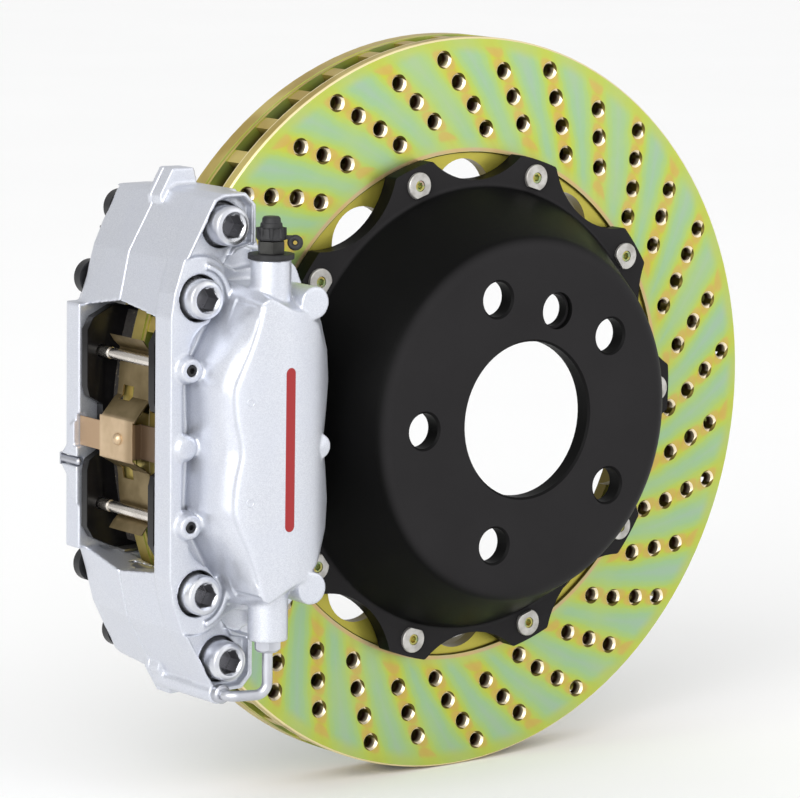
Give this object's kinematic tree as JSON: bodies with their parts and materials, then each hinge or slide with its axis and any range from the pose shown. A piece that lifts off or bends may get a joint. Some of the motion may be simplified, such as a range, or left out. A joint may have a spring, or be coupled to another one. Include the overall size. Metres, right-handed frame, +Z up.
{
  "type": "brake caliper with disc",
  "caption": "Opposed-piston fixed brake caliper over a drilled, ventilated two-piece brake disc with a black bell.",
  "frame": {"origin": "centre of the bell's hub bore at its mounting face", "axes": "+Y inboard along the axle, +Z up, -X towards the caliper"},
  "size_m": [0.3582, 0.144, 0.345],
  "materials": {
    "zinc_iron": "zinc-plated cast iron, yellow passivated, iridescent",
    "black_anodised": "matte black anodised aluminium",
    "silver_paint": "silver satin paint on cast aluminium",
    "zinc_steel": "bright zinc plated steel",
    "dark_zinc": "black zinc plated steel",
    "gold_zinc": "yellow zinc plated steel",
    "black_rubber": "moulded rubber",
    "black_plastic": "moulded black plastic",
    "black_paint": "gloss black paint on steel",
    "friction": "sintered friction compound",
    "stainless": "rolled stainless sheet",
    "bronze_spring": "olive bronze chromated spring steel",
    "bright_steel": "ground bright steel"
  },
  "bodies": {
    "caliper": {"outboard_caliper_half": "silver_paint", "inboard_caliper_half": "silver_paint", "bridge_bolts": "zinc_steel", "bolt_end_plugs": "black_plastic", "piston_seals": "black_rubber", "dust_boots": "black_rubber", "pad_pins": "bright_steel", "pin_retainers": "black_plastic", "pad_spring": "bronze_spring", "spring_rivet": "bronze_spring", "abutment_plates": "stainless", "wear_clip": "zinc_steel", "crossover_pipe": "zinc_steel", "tube_nut": "zinc_steel", "pipe_collar": "zinc_steel", "bleeder_base_rings": "black_rubber"},
    "disc": {"brake_disc": "zinc_iron", "disc_bell": "black_anodised", "drive_bobbins": "zinc_steel", "bobbin_screws": "gold_zinc", "spring_washers": "stainless"},
    "outboard_pad": {"pad_plate_outboard": "black_paint", "pad_lining_outboard": "friction", "pad_shim_outboard": "stainless"},
    "inboard_pad": {"pad_plate_inboard": "black_paint", "pad_lining_inboard": "friction", "pad_shim_inboard": "stainless"},
    "piston_outboard_upper_body": {"piston_outboard_upper": "bright_steel"},
    "piston_outboard_lower_body": {"piston_outboard_lower": "bright_steel"},
    "bleeder_outboard": {"bleeder_screw_outboard": "dark_zinc"},
    "bleeder_dust_cap_outboard": {"bleeder_cap_outboard": "black_rubber"},
    "piston_inboard_upper_body": {"piston_inboard_upper": "bright_steel"},
    "piston_inboard_lower_body": {"piston_inboard_lower": "bright_steel"},
    "bleeder_inboard": {"bleeder_screw_inboard": "dark_zinc"},
    "bleeder_dust_cap_inboard": {"bleeder_cap_inboard": "black_rubber"}
  },
  "joints": [
    {"name": "disc_spin", "type": "hinge", "parent": "caliper", "child": "disc", "pos_m": [0, 0, 0], "axis": [0, 1, 0], "continuous": true},
    {"name": "outboard_pad_slide", "type": "slide", "parent": "caliper", "child": "outboard_pad", "axis": [0, 1, 0], "range_m": [-0.0004, 0.0003]},
    {"name": "piston_outboard_upper_slide", "type": "slide", "parent": "caliper", "child": "piston_outboard_upper_body", "axis": [0, 1, 0], "range_m": [-0.0004, 0.0003]},
    {"name": "piston_outboard_lower_slide", "type": "slide", "parent": "caliper", "child": "piston_outboard_lower_body", "axis": [0, 1, 0], "range_m": [-0.0004, 0.0003]},
    {"name": "bleeder_outboard_turn", "type": "hinge", "parent": "caliper", "child": "bleeder_outboard", "pos_m": [-0.1423, -0.0023, 0.09], "axis": [0, 0, 1], "range_deg": [0, 180]},
    {"name": "bleeder_cap_outboard_lift", "type": "slide", "parent": "caliper", "child": "bleeder_dust_cap_outboard", "axis": [0, 0, 1], "range_m": [0, 0.025]},
    {"name": "inboard_pad_slide", "type": "slide", "parent": "caliper", "child": "inboard_pad", "axis": [0, -1, 0], "range_m": [-0.0004, 0.0003]},
    {"name": "piston_inboard_upper_slide", "type": "slide", "parent": "caliper", "child": "piston_inboard_upper_body", "axis": [0, -1, 0], "range_m": [-0.0004, 0.0003]},
    {"name": "piston_inboard_lower_slide", "type": "slide", "parent": "caliper", "child": "piston_inboard_lower_body", "axis": [0, -1, 0], "range_m": [-0.0004, 0.0003]},
    {"name": "bleeder_inboard_turn", "type": "hinge", "parent": "caliper", "child": "bleeder_inboard", "pos_m": [-0.1423, 0.1147, 0.09], "axis": [0, 0, 1], "range_deg": [0, 180]},
    {"name": "bleeder_cap_inboard_lift", "type": "slide", "parent": "caliper", "child": "bleeder_dust_cap_inboard", "axis": [0, 0, 1], "range_m": [0, 0.025]}
  ],
  "couplings": [
    {"joint": "piston_outboard_upper_slide", "follows": "outboard_pad_slide", "ratio": 1},
    {"joint": "piston_outboard_lower_slide", "follows": "outboard_pad_slide", "ratio": 1},
    {"joint": "piston_inboard_upper_slide", "follows": "inboard_pad_slide", "ratio": 1},
    {"joint": "piston_inboard_lower_slide", "follows": "inboard_pad_slide", "ratio": 1}
  ]
}
